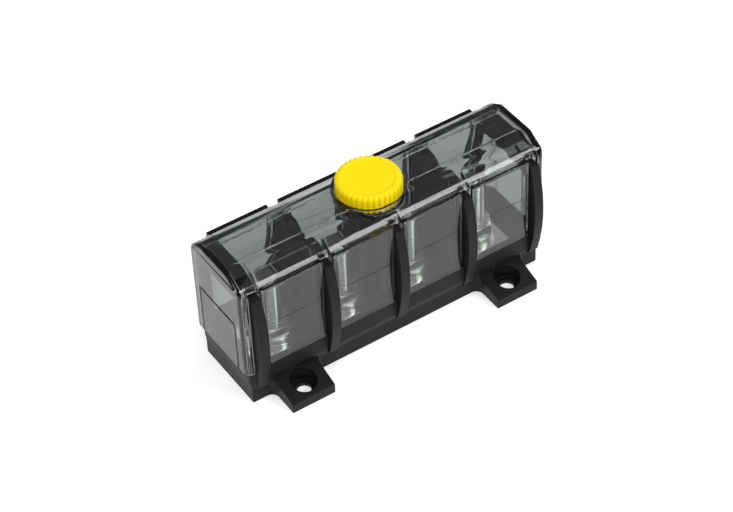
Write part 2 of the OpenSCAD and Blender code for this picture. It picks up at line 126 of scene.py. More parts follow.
# %% Wires and finishes
class Wire:
    """One output socket that can stand in a sum, a difference, a product or a quotient."""

    def __init__(self, finish, socket):
        self.finish = finish
        self.socket = socket

    def math(self, operation, *values):
        return self.finish.node("ShaderNodeMath", {"operation": operation}, dict(enumerate(values)))

    def __add__(self, other):
        return self.math("ADD", self, other)

    def __sub__(self, other):
        return self.math("SUBTRACT", self, other)

    def __rsub__(self, other):
        return self.math("SUBTRACT", other, self)

    def __mul__(self, other):
        return self.math("MULTIPLY", self, other)

    def __truediv__(self, other):
        return self.math("DIVIDE", self, other)

    __radd__ = __add__
    __rmul__ = __mul__

    def clamp(self):
        return self.finish.node("ShaderNodeClamp", {}, {"Value": self})

    def ramp(self, *stops):
        """A Color Ramp with stops given as (position, grey or colour)."""
        return self.finish.node("ShaderNodeValToRGB", {"stops": stops}, {"Fac": self})


class Finish:
    """A material with a Principled shader, and the calls that wire it."""

    def __init__(self, name):
        self.material = bpy.data.materials.new(name)
        self.material.use_nodes = True
        self.tree = self.material.node_tree
        self.shader = self.tree.nodes["Principled BSDF"]
        self.place = self.node("ShaderNodeTexCoord", {}, {}, "Object")

    def join(self, socket, value):
        if isinstance(value, Wire):
            self.tree.links.new(value.socket, socket)
        elif socket.type == "RGBA":
            socket.default_value = (*value[:3], 1.0)
        else:
            socket.default_value = value

    def node(self, kind, settings, sockets, output=0):
        """Adds a node of a type, with its settings first and then the values or wires of its sockets."""
        made = self.tree.nodes.new(kind)
        for key, value in settings.items():
            if key == "stops":
                band = made.color_ramp
                while len(band.elements) < len(value):
                    band.elements.new(0.5)
                for element, (position, colour) in zip(band.elements, value):
                    element.position = position
                    grey = isinstance(colour, (int, float))
                    element.color = (colour, colour, colour, 1.0) if grey else (*colour, 1.0)
            else:
                setattr(made, key, value)
        for key, value in sockets.items():
            self.join(made.inputs[key], value)
        return Wire(self, made.outputs[output])

    def noise(self, scale, detail=2.0, roughness=0.5):
        """Noise whose grains are about 1 / scale metres across, as a value near one half."""
        sockets = {"Vector": self.place, "Scale": scale, "Detail": detail, "Roughness": roughness}
        return self.node("ShaderNodeTexNoise", {}, sockets)

    def mix(self, factor, first, second):
        """Blends two colours."""
        made = self.tree.nodes.new("ShaderNodeMix")
        made.data_type = "RGBA"
        self.join(made.inputs[0], factor)
        self.join(made.inputs[6], first)
        self.join(made.inputs[7], second)
        return Wire(self, made.outputs[2])

    def bump(self, height, distance, strength=1.0):
        """A normal from a height that is 0 to 1 over a distance in millimetres."""
        sockets = {"Height": height, "Distance": distance * MM, "Strength": strength}
        return self.node("ShaderNodeBump", {}, sockets)

    def set(self, **sockets):
        """Sets the Principled shader's sockets, written with underscores for spaces."""
        for key, value in sockets.items():
            self.join(self.shader.inputs[key.replace("_", " ")], value)
        return self


finishes = {}

# %% [markdown]
# Black nylon
#
# The base is moulded in a black nylon with a fine spark-eroded grain. It is not pure black: the grain
# scatters light. A noise of about a third of a millimetre, with finer detail, makes the grain, and a slow
# one varies the sheen.

# %% Black nylon
def black_nylon():
    f = Finish("black_nylon")
    grain = f.noise(2600.0, 3.0, 0.6)
    cloud = f.noise(120.0, 2.0)
    deep, pale = (0.003, 0.003, 0.0033), (0.009, 0.009, 0.009)
    colour = f.mix(grain.ramp((0.35, 0.0), (0.7, 1.0)), deep, pale)
    f.set(Base_Color=colour, Roughness=0.42 + cloud * 0.16, Normal=f.bump(grain, 0.05, 0.5))
    f.set(Specular_IOR_Level=0.2)
    return f


finishes["black_plastic"] = black_nylon()

# %% [markdown]
# Smoked clear plastic
#
# The cover is clear polycarbonate with a grey dye. Light bends as it enters and leaves, which draws the
# bright and dark lines along the edges, and each wall swallows about half of it. A wall that refracts would
# keep the lamps out of the bays, so shadow rays pass through part of it. The faint waves of the moulding
# show only in the reflections.

# %% Smoked clear plastic
def smoked_clear():
    f = Finish("smoked_clear")
    wave = f.noise(60.0, 1.0)
    shadow_ray = f.node("ShaderNodeLightPath", {}, {}, "Is Shadow Ray")
    f.set(Base_Color=(1.0, 1.0, 1.0), Roughness=0.015 + wave * 0.02, Normal=f.bump(wave, 0.05, 0.3))
    f.set(Alpha=1.0 - shadow_ray * 0.8)
    f.set(Transmission_Weight=1.0, IOR=1.55)
    dye = f.node("ShaderNodeVolumeAbsorption", {}, {"Color": (0.0, 0.05, 0.06), "Density": 320.0})
    f.tree.links.new(dye.socket, f.tree.nodes["Material Output"].inputs["Volume"])
    return f


finishes["smoked_clear"] = smoked_clear()

# %% [markdown]
# Yellow knob plastic
#
# The knob is moulded in a strong yellow. It is satin, with slight flow marks.

# %% Yellow plastic
def yellow_plastic():
    f = Finish("yellow_plastic")
    flow = f.noise(180.0, 2.0)
    fine = f.noise(1500.0, 2.0)
    colour = f.mix(flow, (0.89, 0.68, 0.0008), (0.94, 0.73, 0.0015))
    f.set(Base_Color=colour, Roughness=0.36 + flow * 0.12, Normal=f.bump(fine, 0.03, 0.35))
    f.set(Specular_IOR_Level=0.2)
    return f


finishes["yellow_plastic"] = yellow_plastic()

# %% [markdown]
# Metals
#
# The studs, nuts and washers are zinc plated steel, the bar is tinned copper and the insert is turned
# brass. All are metallic with a fine bump; the colour clouds a little, as plating does. Shade is painted
# into the studs' threads: between the crests little light gets in, so the colour is darkened the deeper a
# point lies below the crests. That depth is worked out from the object's coordinates, and needs no extra data
# on the mesh.

# %% Metals
STUD_R = 4.0
THREAD_DEPTH = 0.68
STUD_PITCH = float(round(span("stud_2")[0][0] - span("stud_1")[0][0], 3))
# Colour and share of the shade painted into the thread's roots.
ROOT_SHADE_COLOUR = (0.07, 0.07, 0.065)
ROOT_SHADE_SHARE = 0.85


def painted_root_shade(f, colour):
    """Paints shade into a stud's colour by its depth below the crest. X is taken from the nearest stud's axis, the
    radius is the square root of the sum of both squares, and the depth is what it lacks of the stud's own radius."""
    x = f.node("ShaderNodeSeparateXYZ", {}, {"Vector": f.place}, "X") / MM
    y = f.node("ShaderNodeSeparateXYZ", {}, {"Vector": f.place}, "Y") / MM
    beside = x.math("FLOORED_MODULO", x, STUD_PITCH) - STUD_PITCH / 2
    radius = x.math("SQRT", beside * beside + y * y)
    depth = ((STUD_R - radius) / THREAD_DEPTH).clamp()
    return f.mix(depth * ROOT_SHADE_SHARE, colour, ROOT_SHADE_COLOUR)


def metal(name, pale, dull, roughness, spread=0.12, metallic=1.0, shade=None):
    """A metal whose colour clouds between pale and dull. A shade rule may change that colour."""
    f = Finish(name)
    cloud = f.noise(300.0, 3.0)
    fine = f.noise(4000.0, 2.0)
    colour = f.mix(cloud, dull, pale)
    f.set(Base_Color=shade(f, colour) if shade else colour, Roughness=roughness + cloud * spread)
    f.set(Metallic=metallic, Normal=f.bump(fine, 0.015, 0.5))
    return f


zinc = {"pale": (0.95, 0.96, 0.92), "dull": (0.80, 0.81, 0.76), "metallic": 0.85}
finishes["zinc_steel"] = metal("zinc_steel", roughness=0.08, **zinc)
# The studs' steel carries painted shade in the thread's roots.
finishes["threaded_steel"] = metal("threaded_steel", roughness=0.12, shade=painted_root_shade, **zinc)
finishes["dark_steel"] = metal("dark_steel", (0.12, 0.12, 0.125), (0.07, 0.07, 0.075), 0.3)
finishes["tinned_copper"] = metal("tinned_copper", (0.90, 0.89, 0.83), (0.78, 0.77, 0.71), 0.08)
finishes["brass"] = metal("brass", (0.78, 0.56, 0.24), (0.60, 0.42, 0.17), 0.22)
for node, piece in frame["nodes"].items():
    piece.data.materials.clear()
    piece.data.materials.append(finishes[slot_of_node[node]].material)
print("finishes", ", ".join(finishes))

# %% [markdown]
# Surfaces as grids
#
# Every turned or threaded piece is one grid of points. Its rows follow an outline in radius and height, its
# columns go round the axis, and a rule may move each point, which gives hexagons, threads and ribs. The
# outline's corners are first softened by short curves, because no real edge is perfectly sharp.

# %% Grid helpers
POLE_R = 0.3
SHARP_ANGLE = math.radians(38)


def soften(corners, radius, closed=False):
    """Replaces each corner by a quadratic curve from one radius before it to one radius after it."""
    corners = np.array(corners, float)
    count = len(corners)
    out = []
    for n in range(count):
        here = corners[n]
        if not closed and n in (0, count - 1):
            out.append(here)
            continue
        before, after = corners[n - 1] - here, corners[(n + 1) % count] - here
        near = here + before * min(radius / np.linalg.norm(before), 0.5)
        far = here + after * min(radius / np.linalg.norm(after), 0.5)
        for t in np.linspace(0, 1, 5):
            out.append((1 - t) ** 2 * near + 2 * t * (1 - t) * here + t ** 2 * far)
    return np.array(out)


def dense(outline, step):
    """Splits each piece of an outline that is longer than a step into equal parts."""
    out = [outline[0]]
    for start, end in zip(outline[:-1], outline[1:]):
        parts = max(1, math.ceil(np.linalg.norm(end - start) / step))
        out.extend(start + (end - start) * k / parts for k in range(1, parts + 1))
    return np.array(out)


def grid_mesh(name, points, ring):
    """A mesh from rows by columns of points in millimetres. Columns close, and rows do for a ring or else end in
    flat caps."""
    rows, columns = points.shape[:2]
    i = np.arange(rows if ring else rows - 1)[:, None]
    j = np.arange(columns)[None, :]
    above, beside = (i + 1) % rows, (j + 1) % columns
    quads = np.stack([i * columns + j, i * columns + beside,
                      above * columns + beside, above * columns + j], axis=-1)
    faces = quads.reshape(-1, 4).tolist()
    if not ring:
        faces.append(list(range(columns))[::-1])
        faces.append([(rows - 1) * columns + k for k in range(columns)])
    mesh = bpy.data.meshes.new(name)
    mesh.from_pydata((points.reshape(-1, 3) * MM).tolist(), [], faces)
    mesh.shade_smooth()
    mesh.set_sharp_from_angle(angle=SHARP_ANGLE)
    return mesh


def turned(name, outline, columns, ring=False, shape=None, centre=(0.0, 0.0)):
    """Turns an outline of (radius, height) rows round Z. A shape rule takes angle, radius and height, and
    returns the last two. The piece ends in small flat caps unless it is a ring."""
    outline = np.array(outline, float)
    angle = np.linspace(0, TAU, columns, endpoint=False)[None, :] + 0 * outline[:, :1]
    radius, height = outline[:, :1] + 0 * angle, outline[:, 1:] + 0 * angle
    if shape:
        radius, height = shape(angle, radius, height)
    x, y = centre[0] + radius * np.cos(angle), centre[1] + radius * np.sin(angle)
    return grid_mesh(name, np.stack([x, y, height], axis=-1), ring)


def put(name, mesh, node, slot=None):
    """Stands a mesh in for a CAD node: same body, same finish."""
    piece = bpy.data.objects.new(name, mesh)
    slot = slot or slot_of_node[node]
    piece.data.materials.clear()
    piece.data.materials.append(finishes[slot].material)
    bpy.context.scene.collection.objects.link(piece)
    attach(piece, body_of_node[node])
    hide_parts(node)
    return piece


def hexagon(angle, across, turn):
    """Radius of a hexagon at an angle: half the width over the flats, over the cosine from the nearest flat."""
    from_flat = (angle - turn) % (TAU / 6) - TAU / 12
    return across / 2 / np.cos(from_flat)


FLANK_STRETCH = 1.3
CREST_SHARE = 0.12


def thread_depth(angle, height, pitch, depth):
    """Depth of a V thread with flat crest and root: distance from the crest's helix, stretched and cut off."""
    phase = (height / pitch - angle / TAU) % 1.0
    return depth * np.clip(np.abs(2 * phase - 1) * FLANK_STRETCH - CREST_SHARE, 0, 1)


print("grid helpers ready")

# %% [markdown]
# Studs
#
# Each stud is an M8 screw with its hexagon head trapped below the bar. The thread is a helix: the radius
# falls by a V whose phase is the height over the pitch less the angle over a turn. It starts above the bar
# and fades out where the point is chamfered.

# %% Threaded studs
STUDS = (1, 2, 3, 4)
THREAD_PITCH = 1.25
nut_low, nut_high = span("nut_1")
stud_xs = [float((span("stud_%d" % n)[0][0] + span("stud_%d" % n)[1][0]) / 2) for n in STUDS]
stud_low, stud_high = span("stud_1")
bar_low, bar_high = span("busbar")
SHANK_R = 3.6
HEAD_AF = float(stud_high[1] - stud_low[1])


def stud_mesh(n):
    """Rows from the head's underside, up the head, the shank and the thread, to the chamfered point."""
    z0, head, top = stud_low[2], bar_low[2], stud_high[2]
    reach, point = HEAD_AF / 2 + 1, 0.9
    outline = [(POLE_R, z0), (reach, z0), (reach, head), (SHANK_R, head), (SHANK_R, nut_high[2] - 0.3),
               (STUD_R, nut_high[2]), (STUD_R, top - point), (STUD_R - point, top), (POLE_R, top)]
    rows = dense(soften(outline, 0.12), 0.1)

    def shape(angle, radius, height):
        chamfer = HEAD_AF / 2 + 0.1 + (height - z0) * 1.7
        head_r = np.minimum(hexagon(angle, HEAD_AF, 0.0), chamfer)
        on_head = (height < head + 0.01) & (radius > STUD_R + 0.5)
        radius = np.where(on_head, np.minimum(radius, head_r), radius)
        grown = np.clip((height - bar_high[2]) / THREAD_PITCH, 0, 1)
        wall = (radius > STUD_R - 1.0) & (height > head + 0.2)
        cut = thread_depth(angle, height, THREAD_PITCH, THREAD_DEPTH) * grown
        return np.where(wall, np.minimum(radius, STUD_R - cut), radius), height

    return turned("threaded_stud_%d" % n, rows, 72, shape=shape, centre=(stud_xs[n - 1], 0))


for n in STUDS:
    stud = put("threaded_stud_%d" % n, stud_mesh(n), "stud_%d" % n)
    stud.data.materials[0] = finishes["threaded_steel"].material
print("stud", len(stud.data.polygons), "faces each, head", round(HEAD_AF, 1), "mm over the flats")

# %% [markdown]
# Nuts and washers
#
# A nut is the smaller of two shapes at every point: a hexagon, and a cone that opens at each end. Where
# they cross, the flats get the arched edges of a real chamfered nut. The spring washer is a strip swept
# almost all the way round, and the flat washer is stamped, so its upper edge is round and its lower edge is
# crisp.

# %% Nuts and washers
NUT_AF = 13.0
NUT_TURN = 0.0
SPLIT_ANGLE = math.radians(35)


def nut_mesh(n):
    """A closed ring of rows round the nut's section. Away from the bore each point is cut to the smaller of the
    hexagon and the end's cone."""
    low, high = nut_low[2], nut_high[2]
    reach = NUT_AF / math.sqrt(3)
    bore = SHANK_R + 0.05
    mouth = 0.5
    outline = [(bore, low + mouth), (bore + mouth, low), (reach, low),
               (reach, high), (bore + mouth, high), (bore, high - mouth)]
    loop = soften(outline, 0.15, closed=True)
    rows = dense(np.vstack([loop, loop[:1]]), 0.35)[:-1]

    def shape(angle, radius, height):
        end = np.minimum(height - low, high - height)
        cone = NUT_AF / 2 - 0.15 + end * 1.75
        outer = np.minimum(hexagon(angle, NUT_AF, NUT_TURN), cone)
        return np.where(radius > bore + 0.9, np.minimum(radius, outer), radius), height

    return turned("chamfered_nut_%d" % n, rows, 96, ring=True, shape=shape, centre=(stud_xs[n - 1], 0))


def flat_washer_mesh(n):
    """A closed ring whose upper edges are round, as the punch leaves them."""
    low, high = span("flat_washer_%d" % n)
    outer = (high[0] - low[0]) / 2
    inner = STUD_R + 0.2
    outline = [(inner, low[2]), (outer, low[2]), (outer, high[2] - 0.25),
               (outer - 0.35, high[2]), (inner + 0.25, high[2]), (inner, high[2] - 0.25)]
    loop = soften(outline, 0.1, closed=True)
    return turned("stamped_washer_%d" % n, loop, 72, ring=True, centre=(stud_xs[n - 1], 0))


def lock_washer_mesh(n):
    """A strip swept from one side of the slit to the other, whose ends rise and fall by a tenth of a
    millimetre."""
    low, high = span("lock_washer_%d" % n)
    outer = (high[0] - low[0]) / 2
    inner = STUD_R + 0.15
    spring, slit = 0.1, 0.1
    bottom, top = low[2] + spring, high[2] - spring
    section = soften([(inner, bottom), (outer, bottom), (outer, top), (inner, top)], 0.25, closed=True)
    angle = np.linspace(SPLIT_ANGLE + slit, SPLIT_ANGLE + TAU - slit, 72)[:, None]
    lift = spring * (2 * (angle - SPLIT_ANGLE) / TAU - 1) ** 7
    radius, height = section[::-1, 0][None, :], section[::-1, 1][None, :] + lift
    x, y = stud_xs[n - 1] + radius * np.cos(angle), radius * np.sin(angle)
    return grid_mesh("split_washer_%d" % n, np.stack([x, y, height + 0 * radius], axis=-1), ring=False)


for n in STUDS:
    put("chamfered_nut_%d" % n, nut_mesh(n), "nut_%d" % n)
    put("stamped_washer_%d" % n, flat_washer_mesh(n), "flat_washer_%d" % n)
    put("split_washer_%d" % n, lock_washer_mesh(n), "lock_washer_%d" % n)
print("nuts and washers on", len(stud_xs), "studs")

# %% [markdown]
# The knob and its screw
#
# The knob's side is a ring of rounded ribs: the radius rises and falls with the cosine of the rib count
# times the angle, flattened so that the ribs are broad and the valleys narrow. The ribs fade out into the
# round edge of the top. The steel screw's head is moulded into a pocket inside.

# %% Knob and thumb screw
RIBS = 36
RIB_DEPTH = 0.75
RIB_SHARE = 0.45
knob_low, knob_high = span("knob")
screw_low, screw_high = span("thumb_screw")
KNOB_R = float(knob_high[0] - knob_low[0]) / 2
POCKET_FLOOR = 1.0
SCREW_R = 2.5
SCREW_HEAD_R = float(screw_high[0] - screw_low[0]) / 2


def knob_mesh():
    """Rows from the pocket's ceiling, down its wall, out through the bore, up the ribbed side and over the
    top."""
    low, high = knob_low[2], knob_high[2]
    gap, play = 0.02, 0.05
    pocket, ceiling, wall = low + POCKET_FLOOR, screw_high[2] + gap, SCREW_HEAD_R + gap
    inside = [(POLE_R, ceiling), (wall, ceiling), (wall, pocket), (SCREW_R + play, pocket),
              (SCREW_R + play, low), (KNOB_R - 0.5, low)]
    side = [(KNOB_R, low + 0.5), (KNOB_R, high - 1.3), (KNOB_R - 0.4, high - 0.5), (KNOB_R - 1.3, high - 0.05)]
    dish = high - 0.4
    top = [(KNOB_R - 2.0, high), (KNOB_R - 2.6, high - 0.1), (KNOB_R - 3.1, dish), (POLE_R, dish)]
    rows = dense(soften(inside + side + top, 0.3), 0.5)

    def shape(angle, radius, height):
        wave = 0.5 - 0.5 * np.cos(angle * RIBS)
        valley = np.clip(wave - RIB_SHARE, 0, 1) ** 1.4 / (1 - RIB_SHARE) ** 1.4
        near_side = np.clip((radius - (KNOB_R - 1.9)) / 1.2, 0, 1)
        return radius - RIB_DEPTH * valley * near_side, height

    return turned("ribbed_knob", rows, RIBS * 12, shape=shape)


def thumb_screw_mesh():
    """Rows from the chamfered tip, up the thread, the shank and the head."""
    low, high = screw_low[2], screw_high[2]
    head, tip = knob_low[2] + POCKET_FLOOR, 0.5
    outline = [(POLE_R, low), (SCREW_R - tip, low), (SCREW_R, low + tip), (SCREW_R, head),
               (SCREW_HEAD_R, head), (SCREW_HEAD_R, high), (POLE_R, high)]
    rows = dense(soften(outline, 0.1), 0.07)
    thread_end = span("retaining_ring")[0][2] - 0.2

    def shape(angle, radius, height):
        fade = np.clip((thread_end - height) / 0.8, 0, 1)
        wall = (radius > SCREW_R - 0.6) & (height < head - 0.1)
        cut = thread_depth(angle, height, 0.8, 0.44) * fade
        return np.where(wall, np.minimum(radius, SCREW_R - cut), radius), height

    return turned("thumb_screw_threaded", rows, 60, shape=shape)


put("ribbed_knob", knob_mesh(), "knob")
put("thumb_screw_threaded", thumb_screw_mesh(), "thumb_screw")
print("knob", RIBS, "ribs, radius", round(KNOB_R, 1), "mm")

# %% [markdown]
# Screws of the bottom plate and the insert
#
# The five screws that hold the bottom plate are countersunk, and each has a cross recess: two crossed slots
# that get shallower outwards. The brass insert has a diagonal knurl, which grips the plastic of the post.

# %% Plate screws and insert
plate_low, plate_high = span("plate_screws")
PLATE_HEAD_R = 2.3
PLATE_SCREW_R = 1.38
screw_x, screw_y = float(plate_high[0]) - PLATE_HEAD_R, float(plate_high[1]) - PLATE_HEAD_R


def plate_screw_points(x, y):
    """Rows from the middle of the recess out over the head, up the cone and the thread, to the tip."""
    high, rim = plate_high[2], 0.2
    cone = rim + PLATE_HEAD_R - PLATE_SCREW_R
    outline = np.array([(0.1, 0), (PLATE_HEAD_R, 0), (PLATE_HEAD_R, rim), (PLATE_SCREW_R, cone),
                        (PLATE_SCREW_R, high - 1.2), (0.2, high)], float)
    rows = dense(outline, 0.1)
    angle = np.linspace(0, TAU, 48, endpoint=False)[None, :] + 0 * rows[:, :1]
    radius, height = rows[:, :1] + 0 * angle, rows[:, 1:] + 0 * angle
    u, v = np.abs(radius * np.cos(angle)), np.abs(radius * np.sin(angle))
    arm = np.clip((0.34 - np.minimum(u, v)) / 0.1, 0, 1) * np.clip((1.35 - radius) / 0.25, 0, 1)
    height = np.where(height < 0.01, height + arm * (0.9 - 0.35 * radius), height)
    cut = thread_depth(angle, height, 1.1, 0.38) * np.clip((height - cone - 0.2) / 0.5, 0, 1)
    radius = np.where(height > cone, np.maximum(radius - cut, 0.15), radius)
    return np.stack([x + radius * np.cos(angle), y + radius * np.sin(angle), height], axis=-1)


def plate_screws_mesh():
    """All five screws in one mesh, as they are one node: four at the plate's corners and one in the middle."""
    mesh = bmesh.new()
    spots = [(sx * screw_x, sy * screw_y) for sx in (-1, 1) for sy in (-1, 1)] + [(0.0, 0.0)]
    for x, y in spots:
        mesh.from_mesh(grid_mesh("one_screw", plate_screw_points(x, y), ring=False))
    data = bpy.data.meshes.new("plate_screws_crossed")
    mesh.to_mesh(data)
    mesh.free()
    return data


def insert_mesh():
    """Two crossed sets of diagonal grooves on the outside, a thread inside."""
    low, high = span("threaded_insert")
    outer = (high[0] - low[0]) / 2
    outline = [(SCREW_R + 0.05, low[2]), (outer, low[2]), (outer, high[2]), (SCREW_R + 0.05, high[2])]
    loop = soften(outline, 0.2, closed=True)
    rows = dense(np.vstack([loop, loop[:1]]), 0.25)[:-1]

    def shape(angle, radius, height):
        one = np.abs(np.sin(angle * 14 + height * 2.2))
        other = np.abs(np.sin(angle * 14 - height * 2.2))
        band = np.clip((np.abs(height - (low[2] + high[2]) / 2) - 0.6) / 0.2, 0, 1)
        knurl = 0.22 * np.clip(1 - 3 * np.minimum(one, other), 0, 1) * band
        return np.where(radius > outer - 0.1, radius - knurl, radius), height

    return turned("knurled_insert", rows, 168, ring=True, shape=shape)


put("plate_screws_crossed", plate_screws_mesh(), "plate_screws")
put("knurled_insert", insert_mesh(), "threaded_insert")
print("plate screws at", round(screw_x, 1), "and", round(screw_y, 1), "mm, insert knurled")

# %% [markdown]
# Slots of the cover
#
# On the real cover each slot runs up through the shoulder as an open notch, and inside a thin guide stands
# on both sides of it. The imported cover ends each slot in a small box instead. Remodelling the whole cover
# would only repeat the solid, so a copy is opened over each slot, the plain wall is set back as a prism of
# the wall's own cross-section, and the guides are added. The score line across each window is also filled a
# little, as the real one is finer. Boolean steps keep the copy one closed solid.

# %% Notched cover
SLOT_HALF = 2.3
PATCH_HALF = 3.0
PATCH_Y = 12.0
PATCH_Z = 51.4
NOTCH_Y = 15.5
GUIDE_HALF = 3.1
GUIDE_Y = 10.6
GUIDE_FOOT_Z, GUIDE_TOP_Z = 52.4, 57.83
SHOULDER_CENTRE = (11.6, 51.51)
SHOULDER_MIDDLE_R = 5.0
SCORE_Z = 38.0
SCORE_HALF = 0.6
SCORE_LENGTH_HALF = 12.6
SCORE_ROOT_Y = 17.8
SCORE_Y = float(span("cover")[1][1]) - 0.15
FAR_Y, FAR_Z = 25.0, 65.0
slot_pitch = stud_xs[1] - stud_xs[0]
slot_xs = [stud_xs[0] - slot_pitch / 2 + n * slot_pitch for n in range(len(stud_xs) + 1)]


def prisms(shapes):
    """A mesh of prisms, each from an outline of (y, z) points and its two ends in x, in millimetres."""
    mesh = bmesh.new()
    for outline, start, end in shapes:
        rings = [[mesh.verts.new((x * MM, y * MM, z * MM)) for y, z in outline] for x in (start, end)]
        mesh.faces.new(rings[0])
        mesh.faces.new(rings[1][::-1])
        for n in range(len(outline)):
            after = (n + 1) % len(outline)
            mesh.faces.new([rings[0][n], rings[1][n], rings[1][after], rings[0][after]])
    bmesh.ops.recalc_face_normals(mesh, faces=mesh.faces)
    data = bpy.data.meshes.new("prisms")
    mesh.to_mesh(data)
    mesh.free()
    return data


def boxed(y0, y1, z0, z1, half):
    """A box over each slot on both sides of the cover, as prisms() takes it."""
    return [([(s * y0, z0), (s * y1, z0), (s * y1, z1), (s * y0, z1)], x - half, x + half)
            for x in slot_xs for s in (-1, 1)]


def with_modifiers(piece):
    """A new mesh of a piece as its modifiers leave it."""
    bpy.context.view_layer.update()
    return bpy.data.meshes.new_from_object(piece.evaluated_get(bpy.context.evaluated_depsgraph_get()))


def combined(data, other, operation):
    """The exact union or difference of two closed meshes."""
    first, second = bpy.data.objects.new("first", data), bpy.data.objects.new("second", other)
    for thing in (first, second):
        bpy.context.scene.collection.objects.link(thing)
    step = first.modifiers.new("step", "BOOLEAN")
    step.operation = operation
    step.solver = "EXACT"
    step.object = second
    made = with_modifiers(first)
    for thing in (first, second):
        bpy.data.objects.remove(thing)
    return made


def wall_outline(data, x, side):
    """The outline in order of the cut wall in a plane across the cover, on one side of it."""
    mesh = bmesh.new()
    mesh.from_mesh(data)
    edges = []
    for face in mesh.faces:
        middle = face.calc_center_median() / MM
        in_plane = all(abs(v.co.x / MM - x) < 0.001 for v in face.verts)
        if in_plane and side * middle.y > PATCH_Y and middle.z > PATCH_Z:
            edges.extend(face.edges)
    rim = [edge for edge in edges if edges.count(edge) == 1]
    chain = [rim[0].verts[0], rim[0].verts[1]]
    rim.remove(rim[0])
    while rim:
        following = next(edge for edge in rim if chain[-1] in edge.verts)
        rim.remove(following)
        chain.append(following.other_vert(chain[-1]))
    outline = [(v.co.y / MM, v.co.z / MM) for v in chain[:-1]]
    mesh.free()
    return outline


def guide_outline(side):
    """A guide from its lower edge up to the middle of the wall, which is an arc and then a slope."""
    angle = np.radians(np.linspace(10.3, 60.4, 9))
    arc = np.stack([SHOULDER_CENTRE[0] + SHOULDER_MIDDLE_R * np.cos(angle),
                    SHOULDER_CENTRE[1] + SHOULDER_MIDDLE_R * np.sin(angle)], axis=-1)
    outline = [(GUIDE_Y, GUIDE_FOOT_Z)] + arc.tolist() + [(GUIDE_Y, GUIDE_TOP_Z)]
    return [(side * y, z) for y, z in outline]


def merged(data, near=0.002, flat=0.5):
    """The same mesh with its doubled points joined and its flat stretches as single faces."""
    mesh = bmesh.new()
    mesh.from_mesh(data)
    bmesh.ops.remove_doubles(mesh, verts=mesh.verts, dist=near * MM)
    bmesh.ops.dissolve_limit(mesh, angle_limit=math.radians(flat), verts=mesh.verts, edges=mesh.edges)
    bmesh.ops.recalc_face_normals(mesh, faces=mesh.faces)
    opened = sum(1 for edge in mesh.edges if len(edge.link_faces) != 2)
    out = bpy.data.meshes.new(data.name)
    mesh.to_mesh(out)
    mesh.free()
    return out, opened


def notched_cover():
    """Opens the wall over each slot, sets back its plain part beside and inside the notch, adds the guides, and
    fills the score line across each window to the depth of the real one."""
    data = merged(frame["nodes"]["cover"].data)[0]
    data = combined(data, prisms(boxed(PATCH_Y, FAR_Y, PATCH_Z, FAR_Z, PATCH_HALF)), "DIFFERENCE")
    spots = [(x, s) for x in slot_xs for s in (-1, 1)]
    low = [wall_outline(data, x - PATCH_HALF, s) for x, s in spots]
    high = [wall_outline(data, x + PATCH_HALF, s) for x, s in spots]
    beside_low = prisms([(o, x - PATCH_HALF, x - SLOT_HALF) for o, (x, s) in zip(low, spots)])
    beside_high = prisms([(o, x + SLOT_HALF, x + PATCH_HALF) for o, (x, s) in zip(high, spots)])
    inner = prisms([(o, x - SLOT_HALF, x + SLOT_HALF) for o, (x, s) in zip(low, spots)])
    inner = combined(inner, prisms(boxed(NOTCH_Y, FAR_Y, 45, FAR_Z, PATCH_HALF)), "DIFFERENCE")
    guides = [(guide_outline(s), x + a, x + b) for x, s in spots
              for a, b in ((-GUIDE_HALF, -SLOT_HALF), (SLOT_HALF, GUIDE_HALF))]
    z0, z1 = SCORE_Z - SCORE_HALF, SCORE_Z + SCORE_HALF
    shallow = [([(s * SCORE_ROOT_Y, z0), (s * SCORE_Y, z0), (s * SCORE_Y, z1), (s * SCORE_ROOT_Y, z1)],
                x - SCORE_LENGTH_HALF, x + SCORE_LENGTH_HALF) for x in stud_xs for s in (-1, 1)]
    for part in (beside_low, beside_high, inner, prisms(guides), prisms(shallow)):
        data = combined(data, part, "UNION")
    return merged(data)


cover_data, opened = notched_cover()
print("notched cover", len(cover_data.polygons), "faces,", opened, "open edges")

# %% [markdown]
# Which edges are rounded
#
# A moulded part has no knife edges, so a bevel rounds every edge that turns by more than 30 degrees. A
# weight on each edge says how much of the bevel's width it gets: all of it on the upper edges of the
# cover's ends, none on the fine score lines, and a quarter elsewhere. A bevel that may overlap itself
# throws a few points far off at tight corners, and those are laid back on the surface that they came from.

# %% Bevel helpers
SHARP_EDGE = math.radians(30)
PLAIN_SHARE = 0.25
END_X, END_OUTER_X, END_CROWN_Y, END_Z = 63.2, 64.0, 13.0, 49.0
SCORE_BAND_HALF, SCORE_INNER_Y, SCORE_OUTER_Y = 0.7, 17.7, 18.7


def on_score_line(middle):
    """True on the edges of the line across each window."""
    return abs(middle.z - SCORE_Z) < SCORE_BAND_HALF and SCORE_INNER_Y < abs(middle.y) < SCORE_OUTER_Y


def at_cover_end(middle):
    """True on the upper edge of both ends of the cover."""
    outside = abs(middle.x) >= END_OUTER_X or abs(middle.y) >= END_CROWN_Y
    return abs(middle.x) > END_X and middle.z > END_Z and outside


def edge_weights(data, wide):
    """Writes each sharp edge's share of the bevel's width: all of it where a rule says so, else a quarter."""
    mesh = bmesh.new()
    mesh.from_mesh(data)
    layer = mesh.edges.layers.float.new("bevel_weight_edge")
    for edge in mesh.edges:
        middle = (edge.verts[0].co + edge.verts[1].co) / 2 / MM
        sharp = len(edge.link_faces) == 2 and edge.calc_face_angle() > SHARP_EDGE
        if sharp and not on_score_line(middle):
            edge[layer] = 1.0 if wide(middle) else PLAIN_SHARE
    mesh.to_mesh(data)
    mesh.free()


